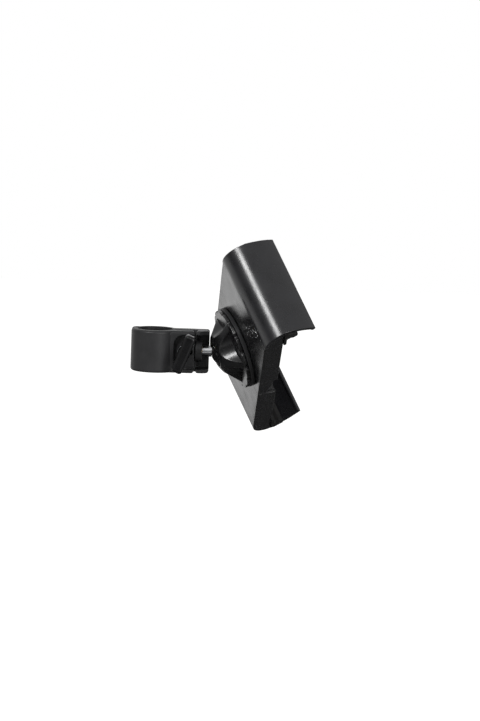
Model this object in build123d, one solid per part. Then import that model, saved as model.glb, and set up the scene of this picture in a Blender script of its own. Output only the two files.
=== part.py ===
from build123d import *
import os
from math import asin, atan2, cos, degrees, pi, radians, sin, sqrt, tan

# Tablet holder on a ball joint, with a hinged clamp for an upright pole.
# Millimetres. The origin is on the pole's axis at half the clamp's height, +Z runs up the pole
# and +X points at the ball joint.

# Driving dimensions: clearances
slack = 0.3                 # open gap between neighbours that don't touch
running = 0.06              # radial clearance of a pin, screw or ball that turns
seat = 0.05                 # glue or thread gap of a piece fixed in another

# Driving dimensions: pole clamp
pole_radius = 12.5
liner_wall = 1.6
liner_height = 30.0
body_liner_start_angle = 4.0    # about the pole, from +X
body_liner_sweep_angle = 128.0
jaw_liner_start_angle = 164.0
jaw_liner_sweep_angle = 160.0
ring_wall = 4.9
clamp_height = 34.0
clamp_edge = 2.2            # rounding of the clamp's outer edges
hinge_x = -14.4
hinge_y = 9.0
knuckle_radius = 4.6
middle_knuckle = 16.0       # height of the jaw's knuckle, between the body's two
hinge_pin_radius = 1.75
pin_chamfer = 0.3
jaw_parting = 5.0
body_parting = 2.0
ear_front = 14.0            # front of the jaw's ear, towards the wing
ear_end = 31.9
ear_floor = 4.0             # thickness of the ear under its recess
recess_start = 15.4
recess_round = 8.0          # rounding of the ear's recess on the ring's side
arm_start = 33.4
arm_end = 44.0
arm_back = 10.0
arm_front = 12.5
arm_front_at_end = 7.0      # the arm's flanges narrow towards the ball
arm_web = 3.5               # back wall of the arm behind its recess
flange_wall = 3.0           # top and bottom walls of the recessed ear and arm

# Driving dimensions: clamping screw and its wing
screw_x = 24.0
screw_radius = 3.0
screw_hole_radius = 3.25
slot_outward = 3.6          # sideways play that the opening jaw needs
slot_inward = 0.8           # and the play that the tightened jaw needs
screw_end = 12.5            # the screw's tip behind the arm
screw_chamfer = 0.4
washer_radius = 5.2
washer_wall = 1.2
nut_across_flats = 10.0
nut_height = 5.0
wing_neck_radius = 5.0
wing_length = 32.0
wing_width = 9.0
wing_depth = 12.0
wing_start = 20.2
wing_lean = 22.0
wing_edge = 2.6

# Driving dimensions: ball joint
ball_x = 56.9
ball_radius = 11.5
stud_radius = 4.5
stud_thread_radius = 4.0
stud_spigot_radius = 3.5
insert_radius = 6.0
boss_radius = 8.5
boss_end = 38.3
front_cup_height = 8.0
cup_wall = 2.1
rear_cup_straight = 2.6
rear_cup_height = 6.4
rear_cup_lip = 10.3
cup_seat_gap = 0.4
collar_wall = 1.6
collar_end = 0.5
disc_radius = 33.5
disc_back = 8.2
disc_wall = 3.2
disc_edge = 0.6
stem_radius = 14.2
base_screw_circle_radius = 10.9
base_screw_depth = 3.0

# Driving dimensions: lock ring
ring_flange_radius = 33.0
ring_flange_height = 2.8
cone_start_radius = 28.5
cone_end_radius = 15.5
cone_height = 11.5
rim_radius = 10.8
rim_height = 2.2
opening_radius = 9.6
scallop_count = 5
scallop_radius = 17.0
scallop_floor = 18.2        # the scallop's depth at the flange, from the ring's axis
scallop_lean = 15.0         # the scallops follow the cone inwards
notches_per_scallop = 3
notch_radius = 3.0
notch_depth = 1.35

# Driving dimensions: holder
holder_width = 81.5
shell_back = 11.7
shell_front = 27.5
shell_wall = 2.0
shell_edge = 0.8
side_wall = 2.2
device_back = 29.7
device_short_side = 178.5
opening_travel = 20.0       # how far each half slides out
hook_depth = 11.5           # each jaw's outermost line beyond the device's edge
jaw_radius = 16.5           # the jaw's round corner
jaw_flat = 2.0              # the jaw's flat strip between its corner and the shell
jaw_wall = 3.0
lip_start_angle = 15.0      # here the corner's arc runs into the lip's flatter one
lip_radius = 55.0
lip_height = 54.8
lip_bead_radius = 1.9
jaw_flange_length = 15.0
jaw_flange_wall = 2.5
jaw_flange_inset = 11.5
jaw_screw_inset = 8.0
jaw_screw_post_inset = 9.05     # the outer jaw screws stand this far in from the posts
near_junction = 12.0        # the near half reaches this far past the middle
near_cover_end = 7.0
far_cover_end = 18.0
side_slope_back = 16.5      # the side walls slope away from the junction above this height,
side_slope_front = 23.0     # and from this one on they end where the covers do
near_slope_run = 9.0
far_slope_run = 5.0
cover_wall = 2.0
cover_post_radius = 3.6
cover_post_inset = 7.5
cover_post_crease_inset = 10.0
cover_post_core_gap = 1.65
pad_overhang = 1.5
pad_height = 38.5
pad_ledge = 9.0
pad_groove = 1.2

# Driving dimensions: slide and centring gear
core_half_length = 45.0
core_wall = 3.5
rail_wall = 6.0
guide_wall = 2.0
gear_cover_wall = 1.3
gear_cover_screw_y = 38.0
gear_module = 1.0
pinion_teeth = 20
pressure_angle = 20.0
gear_height = 3.5
backlash = 0.2
tip_relief = 0.05
rack_width = 7.0
rack_reach = 10.0           # the rack's screw lies this far beyond the core
rack_end = 4.0
axle_radius = 3.0
axle_spigot_radius = 2.0
axle_spigot_height = 2.5
axle_head_radius = 5.2
pinion_hub = 4.1
pinion_floor = 0.8
spring_room = 7.4
spring_strip = 0.3
spring_step = 0.35          # the spring's radius grows by this in each half turn
spring_half_turns = 7

# Driving dimensions: small screws
screw_size = 1.5            # thread radius
screw_head = 2.7
screw_head_height = 1.8
cover_screw_length = 9.0

# Driving dimensions: how the holder stands in its ball joint at rest
rest_swivel = 56.6
rest_tilt = 25.7
rest_spin = 94.2

# Sizes that follow from those above
liner_outer = pole_radius + liner_wall
bore_radius = liner_outer + seat
clamp_radius = bore_radius + ring_wall
half_height = clamp_height / 2
recess_half = half_height - flange_wall
ear_recess_back = -(jaw_parting + ear_floor)
washer_back = ear_recess_back - slack
ball_inner = ball_radius + running
ball_flat = ball_x - sqrt(ball_radius ** 2 - stud_radius ** 2)
cup_outer = ball_inner + cup_wall
collar_inner = cup_outer + seat
collar_outer = collar_inner + collar_wall
disc_front = disc_back + disc_wall
half_width = holder_width / 2
inner_width = half_width - side_wall
shell_floor = shell_back + shell_wall
core_half_width = inner_width - slack
core_back = shell_floor + slack
core_front = core_back + core_wall
gear_back = core_front + slack
gear_front = gear_back + gear_height
cover_back = shell_front - cover_wall
gear_cover_front = cover_back - slack
gear_cover_back = gear_cover_front - gear_cover_wall
cover_post_x = inner_width - cover_post_inset
pitch_radius = gear_module * pinion_teeth / 2
addendum = gear_module
dedendum = 1.25 * gear_module
rack_face = pitch_radius + dedendum
rack_middle = rack_face + rack_width / 2
rack_anchor = core_half_length + rack_reach
rack_boss_radius = rack_width / 2

# The hook's outline in a half's own (Y, Z) plane: a round corner, then the lip's flatter arc
jaw_reach = device_short_side / 2 + hook_depth
jaw_centre_y = jaw_reach - jaw_radius
jaw_centre_z = shell_back + jaw_radius
crease_y = jaw_centre_y - jaw_flat
lip_arm = lip_radius - jaw_radius
lip_centre_y = jaw_centre_y - lip_arm * cos(radians(lip_start_angle))
lip_centre_z = jaw_centre_z - lip_arm * sin(radians(lip_start_angle))
bead_arm = lip_radius - lip_bead_radius
lip_end_angle = degrees(asin((lip_height - lip_bead_radius - lip_centre_z) / bead_arm))
jaw_flange_back = shell_floor + seat
jaw_flange_front = jaw_flange_back + jaw_flange_wall
jaw_screw_y = crease_y - jaw_screw_inset
jaw_screw_pitch = cover_post_x - jaw_screw_post_inset
jaw_screw_x = (-jaw_screw_pitch, 0, jaw_screw_pitch)
cover_post_y = (crease_y - cover_post_crease_inset,
                core_half_length + cover_post_radius + cover_post_core_gap)

# The holder is modelled about the ball's centre, with local Z out through the device,
# local Y along the jaws' travel and local X along the device's long side.
tilt_axis = Vector(0, 0, 1).rotate(Axis.X, rest_swivel)
holder_axis = Vector(1, 0, 0).rotate(Axis((0, 0, 0), tilt_axis), rest_tilt)
holder_side = tilt_axis.rotate(Axis((0, 0, 0), holder_axis), rest_spin)
ball_centre = Vector(ball_x, 0, 0)
holder_place = Plane(origin=ball_centre, x_dir=holder_side, z_dir=holder_axis).location


def block(x0, x1, y0, y1, z0, z1):
    return Pos((x0 + x1) / 2, (y0 + y1) / 2, (z0 + z1) / 2) * Box(abs(x1 - x0), y1 - y0, z1 - z0)


def post(x, y, z0, z1, radius):
    return Pos(x, y, (z0 + z1) / 2) * Cylinder(radius, z1 - z0)


def cross_rod(x, y0, y1, radius):
    """A round rod along Y."""
    return Pos(x, (y0 + y1) / 2, 0) * Rot(90, 0, 0) * Cylinder(radius, y1 - y0)


def long_rod(x0, x1, radius):
    """A round rod along the stud's axis."""
    return Pos((x0 + x1) / 2, 0, 0) * Rot(0, 90, 0) * Cylinder(radius, x1 - x0)


def turned(*points):
    """A solid of revolution about Z from its (radius, height) outline."""
    outline = Polyline(*[(r, 0, z) for r, z in points], close=True)
    return revolve(make_face(outline), Axis.Z)


def polar(radius, angle):
    return (radius * cos(radians(angle)), radius * sin(radians(angle)))


def half_turn(shape):
    return Rot(0, 0, 180) * shape


def countersunk_screw(x, y, head_z, tip_z):
    """A flat-head screw whose head lies at head_z and whose tip points at tip_z."""
    way = 1 if tip_z > head_z else -1
    neck_z = head_z + way * screw_head_height
    return Pos(x, y) * turned((0, head_z), (screw_head, head_z), (screw_size, neck_z),
                              (screw_size, tip_z), (0, tip_z))


def screw_hole(x, y, head_z, tip_z):
    """The room for a flat-head screw, open above its head."""
    way = 1 if tip_z > head_z else -1
    neck_z = head_z + way * (screw_head_height + seat)
    mouth_z = head_z - way * shell_wall
    end_z = tip_z + way * slack
    wide = screw_head + seat
    narrow = screw_size + seat
    return Pos(x, y) * turned((0, mouth_z), (wide, mouth_z), (wide, head_z), (narrow, neck_z),
                              (narrow, end_z), (0, end_z))


# Pole clamp: a body and a jaw that swings on its hinge pin, each lined with rubber

def round_post(x, y, radius):
    """A full-height post whose top and bottom edges are rounded."""
    solid = post(x, y, -half_height, half_height, radius)
    return fillet(solid.edges().filter_by(GeomType.CIRCLE), clamp_edge)


def round_block(x0, x1, y0, y1):
    """A full-height block whose top and bottom edges are rounded."""
    solid = block(x0, x1, y0, y1, -half_height, half_height)
    return fillet(solid.faces().filter_by(Axis.Z).edges(), clamp_edge)


def hinge_hole():
    return post(hinge_x, hinge_y, -half_height, half_height, hinge_pin_radius + running)


def pole_room():
    return post(0, 0, -half_height, half_height, bore_radius)


def clamp_body():
    free = knuckle_radius + slack
    middle = middle_knuckle / 2 + slack
    web_front = arm_back - arm_web
    wrap = block(hinge_x, 0, hinge_y, clamp_radius, -half_height, half_height)
    wrap += block(0, clamp_radius, -body_parting, clamp_radius, -half_height, half_height)
    body = round_post(0, 0, clamp_radius) & wrap
    body += round_block(0, arm_end, -body_parting, arm_back)
    body += round_block(arm_start, arm_end, -arm_front, arm_back)
    body += round_post(hinge_x, hinge_y, knuckle_radius)
    body -= pole_room()
    body -= post(hinge_x, hinge_y, -middle, middle, free)
    body -= hinge_hole()
    body -= block(arm_start, arm_end, -arm_front, web_front, -recess_half, recess_half)
    body -= block(ear_end, arm_start, -arm_front, -body_parting, -recess_half, recess_half)
    corner = Polyline((arm_start + clamp_edge, -arm_front), (arm_end, -arm_front_at_end),
                      (arm_end, -arm_front), close=True)
    body -= Pos(0, 0, -half_height) * extrude(make_face(corner), clamp_height)
    body += long_rod(arm_start - slack, boss_end, boss_radius)
    body -= long_rod(arm_start + slack, boss_end, insert_radius + seat)
    body -= cross_rod(screw_x, -body_parting, arm_back, screw_hole_radius)
    return body - nut_prism(nut_across_flats + 4 * seat, arm_back - nut_height - slack, arm_back)


def nut_prism(across_flats, y0, y1):
    corner = across_flats / 2 / cos(radians(30))
    prism = extrude(RegularPolygon(corner, 6), y1 - y0)
    return Pos(screw_x, y1, 0) * Rot(90, 0, 0) * prism


def clamp_jaw():
    free = knuckle_radius + slack
    middle = middle_knuckle / 2
    wrap = block(-clamp_radius, 0, -clamp_radius, hinge_y, -half_height, half_height)
    wrap += block(-clamp_radius, clamp_radius, -clamp_radius, -jaw_parting, -half_height, half_height)
    jaw = round_post(0, 0, clamp_radius) & wrap
    jaw += round_block(0, ear_end, -ear_front, -jaw_parting)
    jaw += round_post(hinge_x, hinge_y, knuckle_radius)
    jaw -= pole_room()
    for low, high in ((middle, half_height), (-half_height, -middle)):
        jaw -= post(hinge_x, hinge_y, low, high, free)
    jaw -= hinge_hole()
    recess = block(recess_start, ear_end, -ear_front, ear_recess_back, -recess_half, recess_half)
    jaw -= fillet(recess.edges().filter_by(Axis.Y).group_by(Axis.X)[0], recess_round)
    slot = block(screw_x - slot_inward, screw_x + slot_outward, ear_recess_back, -jaw_parting,
                 -screw_hole_radius, screw_hole_radius)
    slot += cross_rod(screw_x - slot_inward, ear_recess_back, -jaw_parting, screw_hole_radius)
    slot += cross_rod(screw_x + slot_outward, ear_recess_back, -jaw_parting, screw_hole_radius)
    return jaw - slot


def liner(start, sweep):
    """A curved strip about the pole, from the angle start through sweep."""
    face = make_face([
        CenterArc((0, 0), liner_outer, start, sweep),
        CenterArc((0, 0), pole_radius, start, sweep),
        Line(polar(pole_radius, start), polar(liner_outer, start)),
        Line(polar(pole_radius, start + sweep), polar(liner_outer, start + sweep)),
    ])
    return Pos(0, 0, -liner_height / 2) * extrude(face, liner_height)


def hinge_pin():
    half = half_height - slack
    return chamfer(post(hinge_x, hinge_y, -half, half, hinge_pin_radius).edges(), pin_chamfer)


def captive_nut():
    nut = nut_prism(nut_across_flats, arm_back - nut_height - seat, arm_back - seat)
    return nut - cross_rod(screw_x, 0, arm_back, screw_radius + running)


def thrust_washer():
    washer = cross_rod(screw_x, washer_back - washer_wall, washer_back, washer_radius)
    return washer - cross_rod(screw_x, -ear_front, 0, screw_radius + running)


def clamp_screw():
    screw = cross_rod(screw_x, -(wing_start + wing_depth / 2), screw_end, screw_radius)
    return chamfer(screw.edges(), screw_chamfer)


def wing_handle():
    neck_back = washer_back - washer_wall - slack
    middle = -(wing_start + wing_depth / 2)
    wing = Box(wing_width, wing_depth, wing_length)
    wing = Pos(screw_x, middle, 0) * Rot(0, wing_lean, 0) * fillet(wing.edges(), wing_edge)
    wing += cross_rod(screw_x, middle, neck_back, wing_neck_radius)
    return wing - cross_rod(screw_x, middle - seat, 0, screw_radius + seat)


# Ball joint: the stud and its threaded insert stay on the clamp

def stud_insert():
    insert = long_rod(arm_start + slack + seat, boss_end, insert_radius)
    return insert - long_rod(arm_start, boss_end, stud_thread_radius + seat)


def ball_stud():
    shoulder = ball_flat - slack
    stud = long_rod(boss_end + slack, shoulder, stud_radius)
    stud += long_rod(arm_start + 3 * slack, boss_end + stud_radius, stud_thread_radius)
    return stud + long_rod(shoulder - stud_radius, ball_x, stud_spigot_radius)


def ball():
    sphere = Pos(ball_x, 0, 0) * Sphere(ball_radius)
    sphere &= block(ball_flat, ball_x + ball_radius, -ball_radius, ball_radius, -ball_radius, ball_radius)
    return sphere - long_rod(0, ball_x + slack, stud_spigot_radius + running)


# From here on everything is modelled about the ball's centre

def front_cup():
    cup = turned((0, slack), (cup_outer, slack), (cup_outer, front_cup_height), (0, front_cup_height))
    return cup - Sphere(ball_inner)


def rear_cup():
    cup = turned((0, 0), (cup_outer, 0), (cup_outer, -rear_cup_straight),
                 (rear_cup_lip, -rear_cup_height), (0, -rear_cup_height))
    return cup - Sphere(ball_inner)


def base_screw_spots():
    return [polar(base_screw_circle_radius, angle) for angle in (45, 135, 225, 315)]


def socket_base():
    base = turned((0, disc_back), (collar_inner, disc_back), (collar_inner, collar_end),
                  (collar_outer, collar_end), (collar_outer, disc_back), (disc_radius, disc_back),
                  (disc_radius, disc_front), (stem_radius, disc_front), (stem_radius, core_back),
                  (0, core_back))
    circles = base.edges().filter_by(GeomType.CIRCLE)
    base = fillet(circles.filter_by(lambda e: abs(e.radius - disc_radius) < seat), disc_edge)
    ball_room = sqrt(ball_radius ** 2 - disc_back ** 2) + slack
    base -= post(0, 0, 0, ball_radius + 2 * slack, ball_room)
    for x, y in base_screw_spots():
        base -= screw_hole(x, y, disc_back + slack, core_back + base_screw_depth)
    return base


def base_screws():
    head, tip = disc_back + slack, core_back + base_screw_depth
    return Compound([countersunk_screw(x, y, head, tip) for x, y in base_screw_spots()])


def lock_ring():
    """The hand ring: it screws on the collar and pulls the rear cup against the ball."""
    back = disc_back - slack
    flange = back - ring_flange_height
    cone_end = flange - cone_height
    rim = cone_end - rim_height
    thread = collar_outer + running
    ledge = collar_end - slack
    ring = turned((thread, back), (ring_flange_radius, back), (ring_flange_radius, flange),
                  (cone_start_radius, flange), (cone_end_radius, cone_end), (rim_radius, rim),
                  (opening_radius, rim), (opening_radius, -rear_cup_height - cup_seat_gap),
                  (rear_cup_lip + cup_seat_gap, -rear_cup_height),
                  (cup_outer + cup_seat_gap, -rear_cup_straight), (cup_outer + cup_seat_gap, ledge),
                  (thread, ledge))
    above_flange = post(0, 0, rim, flange, ring_flange_radius)
    scallop = Pos(scallop_floor + scallop_radius, 0, flange) * Rot(0, scallop_lean, 0)
    scallop *= Cylinder(scallop_radius, 4 * cone_height)
    for k in range(scallop_count):
        ring -= Rot(0, 0, 360 / scallop_count * k) * (scallop & above_flange)
    notch_count = scallop_count * notches_per_scallop
    for k in range(notch_count):
        x, y = polar(ring_flange_radius + notch_radius - notch_depth, 360 / notch_count * (k + 0.5))
        ring -= post(x, y, flange, back, notch_radius)
    return ring


# Holder halves. Each is made with its jaw towards +Y; the near one is then turned half round.

def hook_face(inset, z):
    """Y of the hook's surface at height z, inset from its outer face."""
    corner = jaw_radius - inset
    if z < jaw_centre_z + corner * sin(radians(lip_start_angle)):
        return jaw_centre_y + sqrt(corner ** 2 - (z - jaw_centre_z) ** 2)
    return lip_centre_y + sqrt((lip_radius - inset) ** 2 - (z - lip_centre_z) ** 2)


def lip_point(radius, angle):
    y, z = polar(radius, angle)
    return (lip_centre_y + y, lip_centre_z + z)


def along_x(face, half_length):
    """A (Y, Z) face drawn out to both sides of the YZ plane."""
    return extrude(face, half_length, both=True)


def yz_face(*points):
    return make_face(Polyline(*[(0, y, z) for y, z in points], close=True))


def yz_circle(y, z, radius):
    return Plane.YZ * Pos(y, z) * Circle(radius)


def cover_posts():
    return [(x, y) for x in (-cover_post_x, cover_post_x) for y in cover_post_y]


def jaw():
    """The hook: a round corner and a curved lip that leans over the device's front."""
    outline = [Line((crease_y, shell_back), (crease_y, shell_back + jaw_wall)),
               Line(lip_point(lip_radius, lip_end_angle), lip_point(lip_radius - jaw_wall, lip_end_angle))]
    for inset in (0, jaw_wall):
        outline += [
            Line((crease_y, shell_back + inset), (jaw_centre_y, shell_back + inset)),
            CenterArc((jaw_centre_y, jaw_centre_z), jaw_radius - inset, -90, 90 + lip_start_angle),
            CenterArc((lip_centre_y, lip_centre_z), lip_radius - inset, lip_start_angle,
                      lip_end_angle - lip_start_angle),
        ]
    body = along_x(Plane.YZ * make_face(outline), half_width)
    body += along_x(yz_circle(*lip_point(bead_arm, lip_end_angle), lip_bead_radius), half_width)
    wide = inner_width - jaw_flange_inset
    body += block(-wide, wide, crease_y - jaw_flange_length, jaw_centre_y,
                  jaw_flange_back, jaw_flange_front)
    for x in jaw_screw_x:
        body -= screw_hole(x, jaw_screw_y, jaw_flange_front - seat, shell_back)
    return body


def jaw_screws():
    head, tip = jaw_flange_front - seat, shell_back + shell_wall / 2
    return Compound([countersunk_screw(x, jaw_screw_y, head, tip) for x in jaw_screw_x])


def shell(junction, slope_run, cover_end):
    """The back and side walls of one half, from the junction to the jaw. Towards the device
    the side walls stop short of the junction, and the slide core shows between the halves."""
    end = crease_y - seat
    mouth = stem_radius + slack
    inner_back = shell_back + jaw_wall + seat
    corner = yz_circle(jaw_centre_y, jaw_centre_z, jaw_radius - jaw_wall - seat)
    corner &= yz_face((jaw_centre_y, shell_back), (jaw_reach, shell_back),
                      (jaw_reach, shell_front), (jaw_centre_y, shell_front))
    side = yz_face((junction, shell_back), (end, shell_back), (end, inner_back),
                   (jaw_centre_y, inner_back), (jaw_centre_y, shell_front), (junction, shell_front))
    side -= yz_face((junction, side_slope_back), (junction + slope_run, side_slope_front),
                    (cover_end, side_slope_front), (cover_end, shell_front), (junction, shell_front))
    body = along_x(side + corner, half_width)
    body = fillet(body.edges().filter_by(Axis.Y).group_by(Axis.Z)[0], shell_edge)
    body -= block(-inner_width, inner_width, junction, jaw_reach, shell_floor, shell_front)
    body -= block(-inner_width, inner_width, end, jaw_reach, shell_back, shell_front)
    body -= post(0, 0, shell_back, shell_floor, mouth)
    if junction < 0:
        body -= block(-mouth, mouth, junction, 0, shell_back, shell_floor)
    for x, y in cover_posts():
        body += post(x, y, shell_floor, cover_back - seat, cover_post_radius)
        body -= screw_hole(x, y, shell_front - seat, shell_front - cover_screw_length)
    body += post(-rack_middle, rack_anchor, shell_floor, gear_back - seat, rack_boss_radius)
    body -= screw_hole(-rack_middle, rack_anchor, gear_front, shell_floor)
    for x in jaw_screw_x:
        body -= post(x, jaw_screw_y, shell_floor - shell_wall / 2 - slack, shell_floor, screw_size + seat)
    return body


def cover(start):
    """The device-side cover, set in between the side walls."""
    width = inner_width - seat
    end = hook_face(jaw_wall + 2 * seat, cover_back)
    plate = block(-width, width, start, end, cover_back, shell_front)
    for x, y in cover_posts():
        plate -= screw_hole(x, y, shell_front - seat, shell_front - cover_screw_length)
    return plate


def cover_screws():
    head, tip = shell_front - seat, shell_front - cover_screw_length
    return Compound([countersunk_screw(x, y, head, tip) for x, y in cover_posts()])


def grip_pad():
    """Rubber pad in the hook: a ledge under the device and a grooved face at its edge."""
    low = shell_front + seat
    edge = device_short_side / 2 + seat
    top = device_back - seat
    wall = jaw_wall + seat
    groove = edge + pad_groove
    back = [(hook_face(wall, z), z) for z in (low + jaw_wall, (low + pad_height) / 2, pad_height)]
    outline = yz_face((edge - pad_ledge, low), (back[0][0] - pad_groove, low), *back,
                      (groove, pad_height), (edge, pad_height - jaw_wall), (groove, top + jaw_wall),
                      (edge, top), (edge - pad_ledge, top))
    return along_x(outline, half_width + pad_overhang)


# Slide core, and the rack and pinion that keep the two halves centred

def slide_core():
    """The fixed plate inside the two halves, screwed to the socket, with a rail down each side."""
    long = core_half_length
    core = block(-core_half_width, core_half_width, -long, long, core_back, core_front)
    for side in (-1, 1):
        rail = side * (core_half_width - rail_wall)
        guide = side * (rack_middle + rack_width / 2 + slack)
        core += block(rail, side * core_half_width, -long, long, core_back, gear_cover_back - seat)
        core += block(guide, guide + side * guide_wall, -long, long, core_back, gear_front)
    core -= post(0, 0, core_front - axle_spigot_height - slack, core_front, axle_spigot_radius + seat)
    for x, y in base_screw_spots():
        core -= screw_hole(x, y, disc_back, core_back + base_screw_depth)
    for x, y in gear_cover_spots():
        core -= screw_hole(x, y, gear_cover_front, core_front)
    return core


def gear_cover_spots():
    x = core_half_width - rail_wall / 2
    return [(i * x, j * gear_cover_screw_y) for i in (-1, 1) for j in (-1, 1)]


def gear_cover():
    plate = block(-core_half_width, core_half_width, -core_half_length, core_half_length,
                  gear_cover_back, gear_cover_front)
    for x, y in gear_cover_spots():
        plate -= screw_hole(x, y, gear_cover_front, core_front)
    return plate


def gear_cover_screws():
    head, tip = gear_cover_front, core_front
    return Compound([countersunk_screw(x, y, head, tip) for x, y in gear_cover_spots()])


def pinion_axle():
    spigot_back = core_front - axle_spigot_height
    head_front = gear_cover_back - slack
    return turned((0, spigot_back), (axle_spigot_radius, spigot_back),
                  (axle_spigot_radius, core_front + seat), (axle_radius, core_front + seat),
                  (axle_radius, gear_front + slack), (axle_head_radius, gear_front + slack),
                  (axle_head_radius, head_front), (0, head_front))


def involute(base, radius):
    """Angle at which an involute from the base circle reaches a radius."""
    return sqrt((radius / base) ** 2 - 1) - atan2(sqrt(radius ** 2 - base ** 2), base)


def pinion():
    """Gear whose rim and hub leave a round room for the spring."""
    base = pitch_radius * cos(radians(pressure_angle))
    root = pitch_radius - dedendum
    tip = pitch_radius + addendum - tip_relief
    half_angle = (pi * gear_module - backlash) / 4 / pitch_radius + involute(base, pitch_radius)
    radii = [base + (tip - base) * k / 4 for k in range(5)]
    flank = [(root - tip_relief, half_angle)] + [(r, half_angle - involute(base, r)) for r in radii]
    points = [(r * cos(-a), r * sin(-a)) for r, a in flank]
    points += [(r * cos(a), r * sin(a)) for r, a in reversed(flank)]
    tooth = make_face(Polyline(*points, close=True))
    wheel = Circle(root)
    for k in range(pinion_teeth):
        wheel += Rot(0, 0, 360 / pinion_teeth * k) * tooth
    gear = Pos(0, 0, gear_back) * extrude(wheel, gear_height)
    gear -= post(0, 0, gear_back + pinion_floor, gear_front, spring_room)
    gear += post(0, 0, gear_back, gear_front, pinion_hub)
    return gear - post(0, 0, gear_back, gear_front, axle_radius + running)


def spiral_spring():
    """A flat spring wound in half circles, between the pinion's hub and its rim."""
    strip = None
    for k in range(spring_half_turns):
        radius = pinion_hub + slack + spring_strip + spring_step * k
        upper = k % 2 == 0
        arc = CenterArc((0 if upper else spring_step, 0), radius, 0 if upper else 180, 180)
        piece = trace(arc, spring_strip)
        strip = piece if strip is None else strip + piece
    low = gear_back + pinion_floor + slack
    return Pos(0, 0, low) * extrude(strip, gear_front - low)


def rack_tooth():
    half = (pi * gear_module - backlash) / 4
    lean = tan(radians(pressure_angle))
    tip = pitch_radius - addendum + tip_relief
    root_half = half + lean * dedendum
    tip_half = half - lean * addendum
    buried = rack_face + tip_relief
    outline = Polyline((-buried, -root_half), (-rack_face, -root_half), (-tip, -tip_half),
                       (-tip, tip_half), (-rack_face, root_half), (-buried, root_half), close=True)
    return Pos(0, 0, gear_back) * extrude(make_face(outline), gear_height)


def rack():
    """The far half's rack, on the pinion's -X side, with teeth for the whole travel."""
    pitch = pi * gear_module
    behind = int(opening_travel / pitch) + 3
    bar = block(-rack_face - rack_width, -rack_face, -(behind + 1) * pitch, rack_anchor + rack_end,
                gear_back, gear_front)
    for k in range(-behind, 2):
        bar += Pos(0, (k + 0.5) * pitch, 0) * rack_tooth()
    return bar - screw_hole(-rack_middle, rack_anchor, gear_front - seat, gear_back)


def rack_screw():
    return countersunk_screw(-rack_middle, rack_anchor, gear_front - seat, shell_floor + seat)


on_clamp = {
    "clamp_body": clamp_body(),
    "clamp_jaw": clamp_jaw(),
    "body_liner": liner(body_liner_start_angle, body_liner_sweep_angle),
    "jaw_liner": liner(jaw_liner_start_angle, jaw_liner_sweep_angle),
    "hinge_pin": hinge_pin(),
    "captive_nut": captive_nut(),
    "thrust_washer": thrust_washer(),
    "clamp_screw": clamp_screw(),
    "wing_handle": wing_handle(),
    "stud_insert": stud_insert(),
    "ball_stud": ball_stud(),
    "ball": ball(),
}

on_holder = {
    "front_cup": front_cup(),
    "rear_cup": rear_cup(),
    "socket_base": socket_base(),
    "base_screws": base_screws(),
    "lock_ring": lock_ring(),
    "slide_core": slide_core(),
    "gear_cover": gear_cover(),
    "gear_cover_screws": gear_cover_screws(),
    "pinion": pinion(),
    "spiral_spring": spiral_spring(),
    "pinion_axle": pinion_axle(),
    "far_shell": shell(near_junction + 2 * slack, far_slope_run, far_cover_end),
    "far_cover": cover(far_cover_end),
    "near_shell": half_turn(shell(-near_junction, near_slope_run, near_cover_end)),
    "near_cover": half_turn(cover(near_cover_end)),
}
for name, piece in {"jaw": jaw(), "jaw_screws": jaw_screws(), "cover_screws": cover_screws(),
                    "pad": grip_pad(), "rack": rack(), "rack_screw": rack_screw()}.items():
    on_holder["far_" + name] = piece
    on_holder["near_" + name] = half_turn(piece)

os.makedirs("parts", exist_ok=True)
for name, shape in on_clamp.items():
    export_step(shape, f"parts/{name}.step")
for name, shape in on_holder.items():
    export_step(holder_place * shape, f"parts/{name}.step")
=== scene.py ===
from math import pi, radians

import bpy
from mathutils import Matrix, Vector


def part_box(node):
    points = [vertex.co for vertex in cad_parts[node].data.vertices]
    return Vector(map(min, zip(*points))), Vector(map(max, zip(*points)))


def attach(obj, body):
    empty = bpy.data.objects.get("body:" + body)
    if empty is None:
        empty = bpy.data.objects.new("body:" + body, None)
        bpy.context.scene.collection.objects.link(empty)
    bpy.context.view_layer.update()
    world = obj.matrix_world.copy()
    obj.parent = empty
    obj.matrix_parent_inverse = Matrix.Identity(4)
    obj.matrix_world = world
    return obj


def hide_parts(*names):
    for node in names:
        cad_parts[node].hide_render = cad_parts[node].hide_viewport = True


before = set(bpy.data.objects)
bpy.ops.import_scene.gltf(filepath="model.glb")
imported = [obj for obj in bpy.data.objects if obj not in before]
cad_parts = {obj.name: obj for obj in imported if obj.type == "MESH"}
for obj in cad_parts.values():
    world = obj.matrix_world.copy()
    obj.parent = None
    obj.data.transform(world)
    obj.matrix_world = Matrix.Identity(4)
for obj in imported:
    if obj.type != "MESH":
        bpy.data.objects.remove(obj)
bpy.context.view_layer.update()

# A sliding holder on a ball joint, carried by a hinged clamp.
# Sizes are in millimetres where a name ends in _mm or _MM, and in metres otherwise.
MM = 0.001
HALVES = ("far", "near")

# Where the holder stands in its ball joint at rest: its own X runs along its hooks, its Y along
# their travel and its Z out of its open side.
REST_SWIVEL, REST_TILT, REST_SPIN = radians(56.6), radians(25.7), radians(94.2)
BALL_CENTRE = Vector((56.9, 0, 0)) * MM
tilt_axis = Matrix.Rotation(REST_SWIVEL, 3, "X") @ Vector((0, 0, 1))
holder_out = Matrix.Rotation(REST_TILT, 3, tilt_axis) @ Vector((1, 0, 0))
holder_side = Matrix.Rotation(REST_SPIN, 3, holder_out) @ tilt_axis
holder_travel = holder_out.cross(holder_side)
holder_place = Matrix.Translation(BALL_CENTRE) @ Matrix(
    (holder_side, holder_travel, holder_out)).transposed().to_4x4()

scene = bpy.context.scene


# Materials

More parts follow.
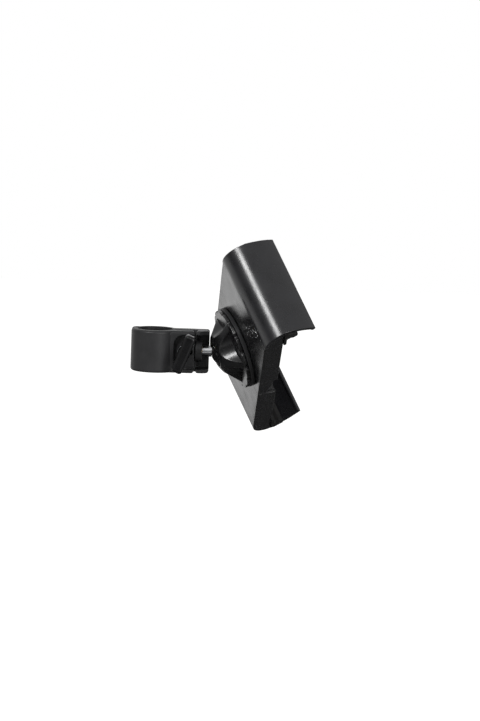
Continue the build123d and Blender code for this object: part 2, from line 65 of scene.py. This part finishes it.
# Where most of a noise texture's values lie
NOISE_RANGE = {"From Min": 0.3, "From Max": 0.7}
# The sizes of the noise that breaks up a surface
EDGE_PATCH_MM, MOULD_FLOW_MM, METAL_CLOUD_MM, BLOOM_MM = 3.0, 14.0, 5.0, 4.0
# A Mix node's sockets for colours and for numbers, which have the same names
COLOUR_A, COLOUR_B, COLOUR_RESULT = 6, 7, 2
NUMBER_A, NUMBER_B = 2, 3


def linear(hex_colour):
    """An sRGB hex colour as linear RGBA."""
    parts = [int(hex_colour[i:i + 2], 16) / 255 for i in (1, 3, 5)]
    return (*[c / 12.92 if c <= 0.04045 else ((c + 0.055) / 1.055) ** 2.4 for c in parts], 1.0)


def add(tree, kind, inputs=None, **settings):
    """A new node with its settings. Each input gets a value, or a link from a socket or from a
    node's first output. A list links several to one socket."""
    node = tree.nodes.new(kind)
    for name, value in settings.items():
        setattr(node, name, value)
    for key, value in (inputs or {}).items():
        sources = value if isinstance(value, list) else [value]
        for source in sources:
            if isinstance(source, bpy.types.Node):
                source = source.outputs[0]
            if isinstance(source, bpy.types.NodeSocket):
                tree.links.new(source, node.inputs[key])
            else:
                node.inputs[key].default_value = source
    return node


def new_material(name):
    material = bpy.data.materials.new(name)
    material.use_nodes = True
    material.node_tree.nodes.clear()
    return material, material.node_tree


def finish_material(tree, surface):
    add(tree, "ShaderNodeOutputMaterial", {"Surface": surface})


def per_metre(size_mm):
    """A texture's scale for features of this size."""
    return 1 / (size_mm * MM)


def edge_wear_and_highlight(tree, rounded, place_coords):
    """1 on edges, which are painted paler as a highlight and as scuffs, 0 on flat faces: it comes
    from how far the rounded normal leaves the true one, broken up by noise."""
    shape = add(tree, "ShaderNodeNewGeometry")
    alike = add(tree, "ShaderNodeVectorMath", {0: shape.outputs["True Normal"], 1: rounded},
                operation="DOT_PRODUCT")
    edge = add(tree, "ShaderNodeMapRange", {"Value": alike.outputs["Value"], "From Min": 0.99,
                                            "From Max": 0.8, "To Min": 0.0, "To Max": 1.0})
    patches = add(tree, "ShaderNodeTexNoise", {
        "Vector": place_coords, "Scale": per_metre(EDGE_PATCH_MM), "Detail": 3.0})
    patch_strength = add(tree, "ShaderNodeMapRange", {"Value": patches, "From Min": 0.45, "From Max": 0.7,
                                            "To Min": 0.15, "To Max": 1.0})
    return add(tree, "ShaderNodeMath", {0: edge, 1: patch_strength}, operation="MULTIPLY")


def moulded_plastic(name, colour, rubbed_and_highlight, roughness, grain_mm, grain_depth_mm, edge_mm,
                    specular=0.5, shaded_grooves=None):
    """Injection-moulded plastic with the grain of its mould: a fine all-over bump, slightly uneven
    gloss and colour, edges that catch the light, and paler edges: scuffs and a painted highlight."""
    material, tree = new_material(name)
    place_coords = add(tree, "ShaderNodeTexCoord").outputs["Object"]
    rounded = add(tree, "ShaderNodeBevel", {"Radius": edge_mm * MM}, samples=6)
    wear_and_highlight = edge_wear_and_highlight(tree, rounded, place_coords)
    flow = add(tree, "ShaderNodeTexNoise", {
        "Vector": place_coords, "Scale": per_metre(MOULD_FLOW_MM), "Detail": 4.0})
    tone = add(tree, "ShaderNodeMapRange", {"Value": flow, **NOISE_RANGE,
                                            "To Min": 0.86, "To Max": 1.14})
    base = add(tree, "ShaderNodeVectorMath", {0: linear(colour)[:3], "Scale": tone},
               operation="SCALE")
    # Edges painted paler: a painted highlight along them, broken up like scuffs
    paint = add(tree, "ShaderNodeMix", {"Factor": wear_and_highlight, COLOUR_A: base, COLOUR_B: linear(rubbed_and_highlight)},
                data_type="RGBA").outputs[COLOUR_RESULT]
    gloss = add(tree, "ShaderNodeMapRange", {"Value": flow, **NOISE_RANGE,
                                             "To Min": roughness - 0.04,
                                             "To Max": roughness + 0.04})
    grain = add(tree, "ShaderNodeTexNoise", {"Vector": place_coords, "Scale": per_metre(grain_mm),
                                             "Detail": 3.0, "Roughness": 0.6})
    normal = add(tree, "ShaderNodeBump", {"Height": grain, "Distance": grain_depth_mm * MM,
                                          "Strength": 1.0, "Normal": rounded})
    if shaded_grooves:
        paint, normal = shaded_grooves(tree, place_coords, paint, normal)
    surface = add(tree, "ShaderNodeBsdfPrincipled", {
        "Base Color": paint, "Roughness": gloss, "Normal": normal, "IOR": 1.5,
        "Specular IOR Level": specular})
    finish_material(tree, surface)
    return material


PANEL_LINE_X_MM = 39.1                  # to each side of the holder's middle
PANEL_LINE_WIDTH_MM = 0.35
PANEL_LINE_DEPTH_MM = 0.2
PANEL_LINE_PATCH_MM = 6.0               # the stretches where it shows more or less


def shaded_panel_line(tree, place_coords, colour, normal):
    """The hairline groove between each shell's back and its side walls, 1.6 mm in from the edge,
    painted near-black as the shade in its gap. It is uneven, and drawn a little wider than a real
    one so that it shows."""
    turned = add(tree, "ShaderNodeVectorMath", {0: place_coords, 1: BALL_CENTRE},
                 operation="SUBTRACT")
    side = add(tree, "ShaderNodeVectorMath", {0: turned, 1: holder_side}, operation="DOT_PRODUCT")
    far = add(tree, "ShaderNodeMath", {0: side.outputs["Value"]}, operation="ABSOLUTE")
    off = add(tree, "ShaderNodeMath", {0: far, 1: PANEL_LINE_X_MM * MM}, operation="SUBTRACT")
    off = add(tree, "ShaderNodeMath", {0: off}, operation="ABSOLUTE")
    line = add(tree, "ShaderNodeMapRange", {
        "Value": off, "From Min": PANEL_LINE_WIDTH_MM / 2 * MM,
        "From Max": PANEL_LINE_WIDTH_MM / 4 * MM, "To Min": 0.0, "To Max": 1.0})
    breaks = add(tree, "ShaderNodeTexNoise", {
        "Vector": place_coords, "Scale": per_metre(PANEL_LINE_PATCH_MM), "Detail": 2.0})
    seen = add(tree, "ShaderNodeMapRange", {"Value": breaks, "From Min": 0.42, "From Max": 0.55,
                                            "To Min": 0.1, "To Max": 1.0})
    mask = add(tree, "ShaderNodeMath", {0: line, 1: seen}, operation="MULTIPLY")
    # Painted shade: the hairline is painted near-black, as the shade in its gap
    painted_shade = add(tree, "ShaderNodeMix", {
        "Factor": mask, COLOUR_A: colour, COLOUR_B: linear("#060606")}, data_type="RGBA")
    groove = add(tree, "ShaderNodeBump", {"Height": mask, "Distance": PANEL_LINE_DEPTH_MM * MM,
                                          "Strength": 1.0, "Normal": normal}, invert=True)
    return painted_shade.outputs[COLOUR_RESULT], groove


def metal(name, colour, roughness, mark_mm, mark_depth_mm, edge_mm, spread=0.06):
    """Bare or plated metal: tool marks as a fine bump, uneven gloss and softened edges."""
    material, tree = new_material(name)
    place_coords = add(tree, "ShaderNodeTexCoord").outputs["Object"]
    rounded = add(tree, "ShaderNodeBevel", {"Radius": edge_mm * MM}, samples=4)
    marks = add(tree, "ShaderNodeTexNoise", {"Vector": place_coords, "Scale": per_metre(mark_mm),
                                             "Detail": 3.0})
    cloud = add(tree, "ShaderNodeTexNoise", {
        "Vector": place_coords, "Scale": per_metre(METAL_CLOUD_MM), "Detail": 2.0})
    gloss = add(tree, "ShaderNodeMapRange", {"Value": cloud, **NOISE_RANGE,
                                             "To Min": roughness - spread / 2,
                                             "To Max": roughness + spread / 2})
    tone = add(tree, "ShaderNodeMapRange", {"Value": cloud, **NOISE_RANGE,
                                            "To Min": 0.92, "To Max": 1.04})
    base = add(tree, "ShaderNodeVectorMath", {0: linear(colour)[:3], "Scale": tone},
               operation="SCALE")
    normal = add(tree, "ShaderNodeBump", {"Height": marks, "Distance": mark_depth_mm * MM,
                                          "Strength": 1.0, "Normal": rounded})
    surface = add(tree, "ShaderNodeBsdfPrincipled", {
        "Base Color": base, "Metallic": 1.0, "Roughness": gloss, "Normal": normal})
    finish_material(tree, surface)
    return material


def moulded_rubber(name, colour, dust, pebble_mm, pebble_depth_mm, edge_mm):
    """Rubber from a matt mould: dull, with a fine pebble and a pale bloom."""
    material, tree = new_material(name)
    place_coords = add(tree, "ShaderNodeTexCoord").outputs["Object"]
    rounded = add(tree, "ShaderNodeBevel", {"Radius": edge_mm * MM}, samples=4)
    pebble = add(tree, "ShaderNodeTexVoronoi", {"Vector": place_coords,
                                                "Scale": per_metre(pebble_mm)})
    bloom = add(tree, "ShaderNodeTexNoise", {"Vector": place_coords, "Scale": per_metre(BLOOM_MM),
                                             "Detail": 5.0})
    dusty = add(tree, "ShaderNodeMapRange", {"Value": bloom, "From Min": 0.45, "From Max": 0.75,
                                             "To Min": 0.0, "To Max": 0.35})
    base = add(tree, "ShaderNodeMix", {
        "Factor": dusty, COLOUR_A: linear(colour), COLOUR_B: linear(dust)}, data_type="RGBA")
    normal = add(tree, "ShaderNodeBump", {"Height": pebble, "Distance": pebble_depth_mm * MM,
                                          "Strength": 0.7, "Normal": rounded})
    surface = add(tree, "ShaderNodeBsdfPrincipled", {
        "Base Color": base.outputs[COLOUR_RESULT], "Roughness": 0.78, "Normal": normal,
        "IOR": 1.52, "Specular IOR Level": 0.2})
    finish_material(tree, surface)
    return material


# Glass-filled nylon from a spark-eroded mould: dull black, sandy grain, rims painted pale:
# highlight and scuffs
glass_filled_nylon = moulded_plastic(
    "glass_filled_nylon", "#232324", rubbed_and_highlight="#4a4a4b", roughness=0.42, grain_mm=0.45,
    grain_depth_mm=0.02, edge_mm=0.7, specular=0.15)
# ABS from a finer spark-eroded mould: it goes pale and shiny where the light grazes it
textured_abs = moulded_plastic(
    "textured_abs", "#131315", rubbed_and_highlight="#242426", roughness=0.28, grain_mm=0.4,
    grain_depth_mm=0.015, edge_mm=0.4)
# The same ABS from a smoother mould, for the shells: an even sheen with hardly any grain
# Its hairline between back and side walls carries painted shade
shell_abs = moulded_plastic(
    "textured_abs_shell", "#121213", rubbed_and_highlight="#202022", roughness=0.25, grain_mm=0.4,
    grain_depth_mm=0.003, edge_mm=0.4, shaded_grooves=shaded_panel_line)
# Nylon from a smooth mould, for what the hand turns: it has a satin gloss and soft flow marks
satin_nylon = moulded_plastic(
    "satin_nylon", "#111112", rubbed_and_highlight="#232325", roughness=0.27, grain_mm=1.6,
    grain_depth_mm=0.01, edge_mm=0.12, specular=0.6)
# The same nylon in the wing: darker, with rounder edges and a weaker shine
wing_nylon = moulded_plastic(
    "satin_nylon_wing", "#0b0b0c", rubbed_and_highlight="#1c1c1d", roughness=0.22, grain_mm=1.6,
    grain_depth_mm=0.01, edge_mm=0.45, specular=0.35)
# Acetal, as machined or moulded: waxy and smooth, in black, grey and its own ivory
black_acetal = moulded_plastic(
    "black_acetal", "#101011", rubbed_and_highlight="#1c1c1d", roughness=0.16, grain_mm=2.5,
    grain_depth_mm=0.008, edge_mm=0.3)
grey_acetal = moulded_plastic(
    "grey_acetal", "#8b8b89", rubbed_and_highlight="#9a9a98", roughness=0.4, grain_mm=0.8,
    grain_depth_mm=0.01, edge_mm=0.2)
natural_acetal = moulded_plastic(
    "natural_acetal", "#e3e0d6", rubbed_and_highlight="#efece4", roughness=0.35, grain_mm=0.8,
    grain_depth_mm=0.01, edge_mm=0.15)
# Nitrile rubber: deep black and matt, so that it looks soft beside the plastics
nitrile_rubber = moulded_rubber("nitrile_rubber", "#0e0e0e", dust="#201f1e", pebble_mm=0.5,
                                pebble_depth_mm=0.05, edge_mm=0.3)
# Zinc-plated steel: cool grey with a slightly cloudy passivated coat
zinc_plated_steel = metal("zinc_plated_steel", "#b4b7ba", roughness=0.32, mark_mm=0.6,
                          mark_depth_mm=0.01, edge_mm=0.15)
# Chrome-plated steel over a turned surface: bright, with soft reflections
chromed_steel = metal("chromed_steel", "#d9dadc", roughness=0.22, mark_mm=3.0,
                      mark_depth_mm=0.004, edge_mm=0.2, spread=0.03)
# Blued spring steel strip: blue-grey, with a soft shine
spring_steel = metal("spring_steel", "#5b6270", roughness=0.28, mark_mm=0.8,
                     mark_depth_mm=0.01, edge_mm=0.1)
# Turned brass: warm yellow, with fine tool marks
turned_brass = metal("turned_brass", "#c9a45c", roughness=0.24, mark_mm=0.4,
                     mark_depth_mm=0.01, edge_mm=0.15)


def in_both_halves(*names):
    return [f"{half}_{name}" for half in HALVES for name in names]


finish_of = {
    glass_filled_nylon: ["clamp_body", "clamp_jaw", "socket_base"],
    satin_nylon: ["lock_ring"],
    wing_nylon: ["wing_handle"],
    textured_abs: ["slide_core", "gear_cover"] + in_both_halves("jaw", "cover"),
    shell_abs: in_both_halves("shell"),
    black_acetal: ["ball"],
    grey_acetal: ["front_cup", "rear_cup"],
    natural_acetal: ["pinion"] + in_both_halves("rack"),
    nitrile_rubber: ["body_liner", "jaw_liner"] + in_both_halves("pad"),
    zinc_plated_steel: ["hinge_pin", "captive_nut", "thrust_washer", "clamp_screw", "base_screws",
                        "gear_cover_screws", "pinion_axle"]
                       + in_both_halves("rack_screw", "jaw_screws", "cover_screws"),
    chromed_steel: ["ball_stud"],
    spring_steel: ["spiral_spring"],
    turned_brass: ["stud_insert"],
}
for material, names in finish_of.items():
    for name in names:
        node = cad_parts[name]
        node.data.materials.clear()
        node.data.materials.append(material)


# Pieces that stand for CAD nodes

def stand_for(piece, node, body):
    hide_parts(node)
    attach(piece, body)


def plain_mesh(piece):
    """What the piece's modifiers make of it, as a mesh without them."""
    return bpy.data.meshes.new_from_object(
        piece.evaluated_get(bpy.context.evaluated_depsgraph_get()))


def start_tree(name, sizes):
    """A Geometry Nodes tree with one named input for each size, in metres."""
    tree = bpy.data.node_groups.new(name, "GeometryNodeTree")
    tree.interface.new_socket("Geometry", in_out="OUTPUT", socket_type="NodeSocketGeometry")
    for size in sizes:
        tree.interface.new_socket(size, in_out="INPUT", socket_type="NodeSocketFloat")
    return tree, add(tree, "NodeGroupInput").outputs


def end_tree(tree, geometry, material):
    real = add(tree, "GeometryNodeRealizeInstances", {"Geometry": geometry})
    coated = add(tree, "GeometryNodeSetMaterial", {"Geometry": real, "Material": material})
    add(tree, "NodeGroupOutput", {0: coated})
    return tree


def grown(name, tree, sizes, place):
    """A plain mesh piece that a tree makes with these sizes, put in its place."""
    piece = bpy.data.objects.new(name, bpy.data.meshes.new(name))
    scene.collection.objects.link(piece)
    modifier = piece.modifiers.new(name, "NODES")
    modifier.node_group = tree
    for socket in tree.interface.items_tree:
        if socket.in_out == "INPUT":
            modifier[socket.identifier] = sizes[socket.name]
    shape = plain_mesh(piece)
    piece.modifiers.clear()
    shape.materials.pop(index=0)        # the empty slot of the mesh that the modifier started from
    piece.data = shape
    shape.transform(place)
    return piece


def lifted(tree, geometry, height):
    """Geometry moved up its own axis."""
    way = add(tree, "ShaderNodeCombineXYZ", {"Z": height})
    return add(tree, "GeometryNodeTransform", {"Geometry": geometry, "Translation": way})


# The clamping screw: an M6 thread of 1 mm pitch, from inside the wing to its tip behind the arm
CLAMP_SCREW_PITCH = 1.0 * MM
CLAMP_SCREW_THREAD_DEPTH = 0.6 * MM
CLAMP_SCREW_TIP = 0.5 * MM
THREAD_FLANK = 0.43                     # how far each flank of the thread runs, in pitches
THREAD_STEPS = 28                       # in each turn
CORE_SIDES = 40
TIP_NARROWING = 0.8


def threaded_rod_tree(material):
    """A rod with a V thread: a ridge of diamond section wound round a core, with a blunt tip."""
    tree, size = start_tree("threaded_rod", ["Radius", "Depth", "Pitch", "Length", "Tip"])
    core_radius = add(tree, "ShaderNodeMath", {0: size["Radius"], 1: size["Depth"]},
                      operation="SUBTRACT")
    wound = add(tree, "ShaderNodeMath", {0: size["Length"], 1: size["Pitch"]},
                operation="SUBTRACT")
    turns = add(tree, "ShaderNodeMath", {0: wound, 1: size["Pitch"]}, operation="DIVIDE")
    line = add(tree, "GeometryNodeCurveSpiral", {
        "Resolution": THREAD_STEPS, "Rotations": turns, "Start Radius": core_radius,
        "End Radius": core_radius, "Height": wound})
    upright = add(tree, "GeometryNodeSetCurveNormal", {"Curve": line}, mode="Z_UP")
    width = add(tree, "ShaderNodeMath", {0: size["Depth"], 1: 2.0}, operation="MULTIPLY")
    flank = add(tree, "ShaderNodeMath", {0: size["Pitch"], 1: THREAD_FLANK}, operation="MULTIPLY")
    section = add(tree, "GeometryNodeCurvePrimitiveQuadrilateral", {
        "Width": width, "Bottom Height": flank, "Top Height": flank}, mode="KITE")
    ridge = add(tree, "GeometryNodeCurveToMesh", {"Curve": upright, "Profile Curve": section,
                                                  "Fill Caps": True})
    ridge_start = add(tree, "ShaderNodeMath", {0: size["Pitch"], 1: 0.5}, operation="MULTIPLY")
    core = add(tree, "GeometryNodeMeshCylinder", {"Vertices": CORE_SIDES, "Radius": core_radius,
                                                  "Depth": size["Length"]})
    core_middle = add(tree, "ShaderNodeMath", {0: size["Length"], 1: 0.5}, operation="MULTIPLY")
    tip_radius = add(tree, "ShaderNodeMath", {0: core_radius, 1: TIP_NARROWING},
                     operation="MULTIPLY")
    tip = add(tree, "GeometryNodeMeshCone", {"Vertices": CORE_SIDES, "Radius Top": tip_radius,
                                             "Radius Bottom": core_radius, "Depth": size["Tip"]})
    rod = add(tree, "GeometryNodeJoinGeometry", {0: [
        lifted(tree, ridge, ridge_start), lifted(tree, core, core_middle),
        lifted(tree, tip, size["Length"])]})
    return end_tree(tree, rod, material)


screw_low, screw_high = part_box("clamp_screw")
# The tree grows the screw along Z, and the screw lies along Y
screw_start = Matrix.Translation(((screw_low.x + screw_high.x) / 2, screw_low.y, 0))
screw_place = screw_start @ Matrix.Rotation(radians(-90), 4, "X")
clamp_screw = grown("clamp_screw_thread", threaded_rod_tree(zinc_plated_steel), {
    "Radius": (screw_high.x - screw_low.x) / 2, "Depth": CLAMP_SCREW_THREAD_DEPTH,
    "Pitch": CLAMP_SCREW_PITCH, "Length": screw_high.y - screw_low.y - CLAMP_SCREW_TIP,
    "Tip": CLAMP_SCREW_TIP}, screw_place)
stand_for(clamp_screw, "clamp_screw", "wing")

# The lock ring, with the soft edges of a moulded piece
RING_CELL = 0.42 * MM
RING_SMOOTHING = 3
WELD_DISTANCE = 0.01 * MM


def softened(name, node, cell, passes, material):
    """A copy of a CAD node with rounded edges: cut into small cells, then smoothed."""
    piece = bpy.data.objects.new(name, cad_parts[node].data.copy())
    scene.collection.objects.link(piece)
    piece.modifiers.new("weld", "WELD").merge_threshold = WELD_DISTANCE
    cells = piece.modifiers.new("cells", "REMESH")
    cells.mode, cells.voxel_size = "VOXEL", cell
    smooth = piece.modifiers.new("smooth", "SMOOTH")
    smooth.factor, smooth.iterations = 0.5, passes
    shape = plain_mesh(piece)
    piece.modifiers.clear()
    shape.materials.clear()
    shape.materials.append(material)
    shape.shade_smooth()
    piece.data = shape
    return piece


lock_ring = softened("lock_ring_moulded", "lock_ring", RING_CELL, RING_SMOOTHING, satin_nylon)
stand_for(lock_ring, "lock_ring", "lock_ring")

# The screws of the two covers on the open side
SCREW_HEAD_RADIUS = 2.7 * MM
SCREW_HEAD_HEIGHT = 1.8 * MM
SCREW_RADIUS = 1.5 * MM
HEAD_SIDES, SHANK_SIDES = 32, 24
# The cross recess, in radii of the head
RECESS_LENGTH, RECESS_WIDTH, RECESS_DEPTH = 1.25, 0.26, 0.9
RECESS_SEED = 7


def cross_head_screws_tree(material):
    """Four flat-head screws at the corners of a rectangle, each with a cross recess that has
    stopped at its own angle."""
    tree, size = start_tree("cross_head_screws", ["Head radius", "Head height", "Thread radius",
                                                  "Length", "Across", "Along"])
    head = add(tree, "GeometryNodeMeshCone", {
        "Vertices": HEAD_SIDES, "Radius Top": size["Head radius"],
        "Radius Bottom": size["Thread radius"], "Depth": size["Head height"]})
    head_down = add(tree, "ShaderNodeMath", {0: size["Head height"], 1: -1.0},
                    operation="MULTIPLY")
    shank_length = add(tree, "ShaderNodeMath", {0: size["Length"], 1: size["Head height"]},
                       operation="SUBTRACT")
    shank = add(tree, "GeometryNodeMeshCylinder", {
        "Vertices": SHANK_SIDES, "Radius": size["Thread radius"], "Depth": shank_length})
    shank_ends = add(tree, "ShaderNodeMath", {0: size["Length"], 1: size["Head height"]},
                     operation="ADD")
    shank_middle = add(tree, "ShaderNodeMath", {0: shank_ends, 1: -0.5}, operation="MULTIPLY")
    long, narrow, deep = (
        add(tree, "ShaderNodeMath", {0: size["Head radius"], 1: share}, operation="MULTIPLY")
        for share in (RECESS_LENGTH, RECESS_WIDTH, RECESS_DEPTH))
    cuts = []
    for cut_size in ((long, narrow, deep), (narrow, long, deep)):
        extent = add(tree, "ShaderNodeCombineXYZ", dict(zip("XYZ", cut_size)))
        cuts.append(add(tree, "GeometryNodeMeshCube", {"Size": extent}))
    recessed = add(tree, "GeometryNodeMeshBoolean", {0: lifted(tree, head, head_down), 1: cuts},
                   operation="DIFFERENCE")
    screw = add(tree, "GeometryNodeJoinGeometry", {0: [lifted(tree, shank, shank_middle),
                                                       recessed]})
    corners = add(tree, "GeometryNodeMeshGrid", {"Size X": size["Across"], "Size Y": size["Along"],
                                                 "Vertices X": 2, "Vertices Y": 2})
    angle = add(tree, "FunctionNodeRandomValue", {
        0: (0.0, 0.0, 0.0), 1: (0.0, 0.0, pi / 2), "Seed": RECESS_SEED}, data_type="FLOAT_VECTOR")
    placed = add(tree, "GeometryNodeInstanceOnPoints", {"Points": corners, "Instance": screw,
                                                        "Rotation": angle})
    return end_tree(tree, placed, material)


def local_box(node):
    """A holder node's lowest and highest corners in the holder's own axes."""
    back = holder_place.inverted()
    corners = [back @ v.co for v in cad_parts[node].data.vertices]
    return (Vector([min(c[i] for c in corners) for i in range(3)]),
            Vector([max(c[i] for c in corners) for i in range(3)]))


cover_screws = cross_head_screws_tree(zinc_plated_steel)
for half in HALVES:
    low, high = local_box(half + "_cover_screws")
    middle = (low + high) / 2
    heads = grown(half + "_cover_screw_heads", cover_screws, {
        "Head radius": SCREW_HEAD_RADIUS, "Head height": SCREW_HEAD_HEIGHT,
        "Thread radius": SCREW_RADIUS, "Length": high.z - low.z,
        "Across": high.x - low.x - 2 * SCREW_HEAD_RADIUS,
        "Along": high.y - low.y - 2 * SCREW_HEAD_RADIUS},
        holder_place @ Matrix.Translation((middle.x, middle.y, high.z)))
    stand_for(heads, half + "_cover_screws", half + "_half")


# Studio

FLOOR_Z = -0.34
FLOOR_LEFT, FLOOR_RIGHT, FLOOR_FRONT, FLOOR_BACK = -4, 4, -1.2, 4
# The floor in reflections: painted shade out to the first radius, white from the second
DIM_RADIUS, WHITE_RADIUS = 0.6, 1.1
DIM_LEVEL, WHITE_LEVEL = 0.05, 1.0


def paper(name, colour, glow):
    """Pale studio paper. The camera sees it lifted to white, and it keeps the object's shadow.
    Reflections see painted shade on it under the object, and white further out. It lets light
    through from behind, so it hides nothing from below."""
    material, tree = new_material(name)
    path = add(tree, "ShaderNodeLightPath")
    seen = add(tree, "ShaderNodeMath", {0: path.outputs["Is Camera Ray"], 1: glow},
               operation="MULTIPLY")
    matt = add(tree, "ShaderNodeBsdfDiffuse", {"Color": linear(colour)})
    lift = add(tree, "ShaderNodeEmission", {"Strength": seen})
    front = add(tree, "ShaderNodeAddShader", {0: matt, 1: lift})
    place_coords = add(tree, "ShaderNodeTexCoord").outputs["Object"]
    under = add(tree, "ShaderNodeVectorMath", {0: place_coords, 1: (0.0, 0.0, FLOOR_Z)},
                operation="DISTANCE")
    far = add(tree, "ShaderNodeMapRange", {
        "Value": under.outputs["Value"], "From Min": DIM_RADIUS, "From Max": WHITE_RADIUS,
        "To Min": DIM_LEVEL, "To Max": WHITE_LEVEL})
    # Painted shade in reflections: the floor glows dim near the object and white further out
    reflected_with_painted_shade = add(tree, "ShaderNodeEmission", {"Strength": far})
    front = add(tree, "ShaderNodeMixShader", {0: path.outputs["Is Glossy Ray"], 1: front,
                                              2: reflected_with_painted_shade})
    clear = add(tree, "ShaderNodeBsdfTransparent")
    back = add(tree, "ShaderNodeNewGeometry").outputs["Backfacing"]
    finish_material(tree, add(tree, "ShaderNodeMixShader", {0: back, 1: front, 2: clear}))
    return material


def stage_sheet(name, points, material):
    mesh = bpy.data.meshes.new(name)
    mesh.from_pydata(points, [], [tuple(range(len(points)))])
    mesh.materials.append(material)
    sheet = bpy.data.objects.new(name, mesh)
    scene.collection.objects.link(sheet)


stage_sheet("studio_floor", [(x, y, FLOOR_Z) for x, y in (
    (FLOOR_LEFT, FLOOR_FRONT), (FLOOR_RIGHT, FLOOR_FRONT), (FLOOR_RIGHT, FLOOR_BACK),
    (FLOOR_LEFT, FLOOR_BACK))], paper("floor_paper", "#e8e8e6", glow=0.62))

# What surrounds the object: a white backdrop behind it, a grey ceiling and a dim studio in front
BACKDROP_WAY = (-0.1, 0.995, 0)
BACKDROP_LEVEL, CEILING_LEVEL, FRONT_LEVEL = 0.9, 0.6, 0.08
world = bpy.data.worlds.new("studio_light")
scene.world = world
world.use_nodes = True
sky = world.node_tree
sky.nodes.clear()
towards = add(sky, "ShaderNodeTexCoord").outputs["Generated"]
depth = add(sky, "ShaderNodeVectorMath", {0: towards, 1: BACKDROP_WAY}, operation="DOT_PRODUCT")
behind = add(sky, "ShaderNodeMapRange", {
    "Value": depth.outputs["Value"], "From Min": 0.3, "From Max": 0.75, "To Min": 0.0,
    "To Max": BACKDROP_LEVEL})
height = add(sky, "ShaderNodeVectorMath", {0: towards, 1: (0, 0, 1)}, operation="DOT_PRODUCT")
above = add(sky, "ShaderNodeMapRange", {
    "Value": height.outputs["Value"], "From Min": 0.0, "From Max": 0.6, "To Min": FRONT_LEVEL,
    "To Max": CEILING_LEVEL})
both = add(sky, "ShaderNodeMath", {0: behind, 1: above}, operation="MAXIMUM")
path = add(sky, "ShaderNodeLightPath")
level = add(sky, "ShaderNodeMix", {
    "Factor": path.outputs["Is Camera Ray"], NUMBER_A: both, NUMBER_B: 1.0}, data_type="FLOAT")
backing = add(sky, "ShaderNodeBackground", {"Color": (1, 1, 1, 1), "Strength": level})
add(sky, "ShaderNodeOutputWorld", {"Surface": backing})

LAMP_DISTANCE = 1.5
LAMP_TARGET = Vector((0.06, 0, 0))


def softbox(name, direction, side, power):
    """A square lamp that looks at the object from this direction."""
    light = bpy.data.lights.new(name, "AREA")
    light.shape, light.size, light.energy = "SQUARE", side, power
    lamp = bpy.data.objects.new(name, light)
    scene.collection.objects.link(lamp)
    way = Vector(direction).normalized()
    lamp.location = LAMP_TARGET + way * LAMP_DISTANCE
    lamp.rotation_euler = (-way).to_track_quat("-Z", "Y").to_euler()


softbox("main_softbox", (-0.45, -0.69, 0.565), side=0.42, power=16)
softbox("fill_softbox", (0.55, -0.8, 0.3), side=0.8, power=22)


# Camera

CAMERA_PLACE = (0.06887, -2.40565, 0.28622)
CAMERA_TILT = radians(83)
# The clamp sits 2 degrees off square in the picture, so the camera is rolled by as much
CAMERA_ROLL = radians(-2.0)
LENS_MM, SENSOR_WIDTH_MM = 150.08, 36
NEAREST_SEEN, FARTHEST_SEEN = 0.1, 50
camera = bpy.data.objects.new("camera", bpy.data.cameras.new("camera"))
scene.collection.objects.link(camera)
scene.camera = camera
camera.data.lens, camera.data.sensor_width = LENS_MM, SENSOR_WIDTH_MM
camera.data.clip_start, camera.data.clip_end = NEAREST_SEEN, FARTHEST_SEEN
camera.matrix_world = (Matrix.Rotation(CAMERA_ROLL, 4, "Y") @ Matrix.Translation(CAMERA_PLACE)
                       @ Matrix.Rotation(CAMERA_TILT, 4, "X"))
scene.view_settings.view_transform = "Standard"
